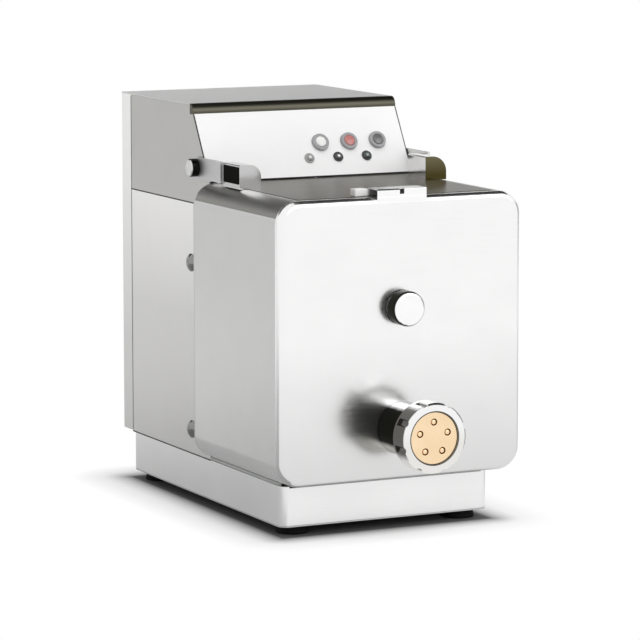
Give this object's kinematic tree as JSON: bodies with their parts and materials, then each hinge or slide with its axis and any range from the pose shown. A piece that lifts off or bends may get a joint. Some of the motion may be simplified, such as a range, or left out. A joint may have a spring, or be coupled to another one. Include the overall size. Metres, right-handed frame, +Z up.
{
  "type": "electric pasta maker",
  "caption": "Countertop electric pasta maker with a hinged smoked lid over a mixing tank, a front extruder with a bronze die and ring nut, a mixer knob and a sloping push-button panel.",
  "frame": {"origin": "centre of the footprint on the surface the feet stand on", "axes": "+Z up, -Y towards the extruder's die at the front, +X to the right seen from the front"},
  "size_m": [0.346, 0.654, 0.533],
  "materials": {
    "brushed_steel_panel": "fine brushed stainless sheet, satin",
    "front_steel": "light satin stainless sheet",
    "plain_steel": "plain cold-rolled steel",
    "polished_steel": "polished stainless",
    "zinc_screw": "zinc-plated fastener",
    "black_rubber": "matt black rubber",
    "cast_aluminium": "cast aluminium",
    "cast_iron_motor": "painted cast motor body",
    "gear_steel": "machined steel gear",
    "bronze_die": "bright bronze, machined",
    "black_plastic": "moulded black plastic",
    "white_cap": "moulded white plastic",
    "red_cap": "moulded red plastic",
    "dark_cap": "moulded black plastic, gloss",
    "lamp_lens": "dark translucent lens",
    "smoked_lid": "smoked polycarbonate, gloss",
    "circuit_board": "green laminate",
    "fan_plastic": "moulded nylon"
  },
  "bodies": {
    "body": {"base_tray": "brushed_steel_panel", "bottom_plate": "plain_steel", "rubber_feet": "black_rubber", "foot_screws": "zinc_screw", "front_bulkhead": "plain_steel", "side_panel_left": "brushed_steel_panel", "side_panel_right": "brushed_steel_panel", "side_bolts": "polished_steel", "head_shell": "brushed_steel_panel", "top_cover": "brushed_steel_panel", "control_panel": "front_steel", "rear_cover": "brushed_steel_panel", "rear_rails": "plain_steel", "rear_cover_screws": "zinc_screw", "button_bezels": "black_plastic", "contact_blocks": "black_plastic", "pilot_lamps": "lamp_lens", "pilot_bezels": "black_plastic", "control_board": "circuit_board", "start_capacitor": "black_plastic", "cable_gland": "black_plastic", "tank_shell": "brushed_steel_panel", "front_plate": "front_steel", "tank_rear_plate": "plain_steel", "mixing_tub": "plain_steel", "rim_gasket": "black_rubber", "tank_bolts": "zinc_screw", "extruder_barrel": "polished_steel", "knob_bush": "plain_steel", "shaft_seals": "black_rubber", "gearbox_housing": "cast_aluminium", "gearbox_cover": "cast_aluminium", "gearbox_screws": "zinc_screw", "shaft_bearings": "gear_steel", "motor_housing": "cast_iron_motor", "fan_cowl": "black_plastic", "motor_screws": "zinc_screw", "hinge_pins": "polished_steel"},
    "lid": {"lid_panel": "smoked_lid", "lid_bracket_left": "polished_steel", "lid_bracket_right": "polished_steel", "lid_handle": "front_steel", "lid_magnet": "white_cap"},
    "mixer": {"mixer_shaft": "polished_steel", "mixer_paddles": "polished_steel", "mixer_gear": "gear_steel"},
    "auger": {"auger_screw": "polished_steel", "auger_shaft": "gear_steel", "auger_gear": "gear_steel"},
    "intermediate": {"intermediate_shaft": "gear_steel", "intermediate_gear": "gear_steel"},
    "rotor": {"motor_shaft": "gear_steel", "cooling_fan": "fan_plastic"},
    "start_button": {"start_button": "white_cap"},
    "stop_button": {"stop_button": "red_cap"},
    "extrude_button": {"extrude_button": "dark_cap"},
    "knob_carrier": {"knob_washer": "plain_steel"},
    "knob": {"mixer_knob": "polished_steel"},
    "die_carrier": {"extrusion_die": "bronze_die"},
    "nut": {"ring_nut": "polished_steel"}
  },
  "joints": [
    {"name": "lid_hinge", "type": "hinge", "parent": "body", "child": "lid", "pos_m": [0, 0.053, 0.451], "axis": [-1, 0, 0], "range_deg": [0, 85]},
    {"name": "mixer_turn", "type": "hinge", "parent": "body", "child": "mixer", "pos_m": [0, 0, 0.292], "axis": [0, 1, 0], "continuous": true},
    {"name": "auger_turn", "type": "hinge", "parent": "body", "child": "auger", "pos_m": [0, 0, 0.137], "axis": [0, 1, 0], "continuous": true},
    {"name": "intermediate_turn", "type": "hinge", "parent": "body", "child": "intermediate", "pos_m": [0.06, 0, 0.18684], "axis": [0, 1, 0], "continuous": true},
    {"name": "motor_turn", "type": "hinge", "parent": "body", "child": "rotor", "pos_m": [0.06, 0, 0.25884], "axis": [0, 1, 0], "continuous": true},
    {"name": "start_button_press", "type": "slide", "parent": "body", "child": "start_button", "axis": [0, 0.8616, -0.5075], "range_m": [0, 0.004], "stiffness_N_per_m": 600, "springref_m": -0.002},
    {"name": "stop_button_press", "type": "slide", "parent": "body", "child": "stop_button", "axis": [0, 0.8616, -0.5075], "range_m": [0, 0.004], "stiffness_N_per_m": 600, "springref_m": -0.002},
    {"name": "extrude_button_press", "type": "slide", "parent": "body", "child": "extrude_button", "axis": [0, 0.8616, -0.5075], "range_m": [0, 0.004], "stiffness_N_per_m": 600, "springref_m": -0.002},
    {"name": "knob_travel", "type": "slide", "parent": "body", "child": "knob_carrier", "axis": [0, -1, 0], "range_m": [0, 0.01]},
    {"name": "knob_turn", "type": "hinge", "parent": "knob_carrier", "child": "knob", "pos_m": [0, 0, 0.292], "axis": [0, -1, 0], "range_deg": [0, 1440]},
    {"name": "die_travel", "type": "slide", "parent": "body", "child": "die_carrier", "axis": [0, -1, 0], "range_m": [0, 0.012]},
    {"name": "ring_nut_turn", "type": "hinge", "parent": "die_carrier", "child": "nut", "pos_m": [0, 0, 0.137], "axis": [0, -1, 0], "range_deg": [0, 1080]}
  ],
  "couplings": [
    {"joint": "auger_turn", "follows": "mixer_turn", "ratio": -1.5833},
    {"joint": "intermediate_turn", "follows": "mixer_turn", "ratio": 5.2778},
    {"joint": "motor_turn", "follows": "mixer_turn", "ratio": -15.833},
    {"joint": "knob_travel", "follows": "knob_turn", "m_per_rad": 0.00039789},
    {"joint": "die_travel", "follows": "ring_nut_turn", "m_per_rad": 0.00063662}
  ]
}
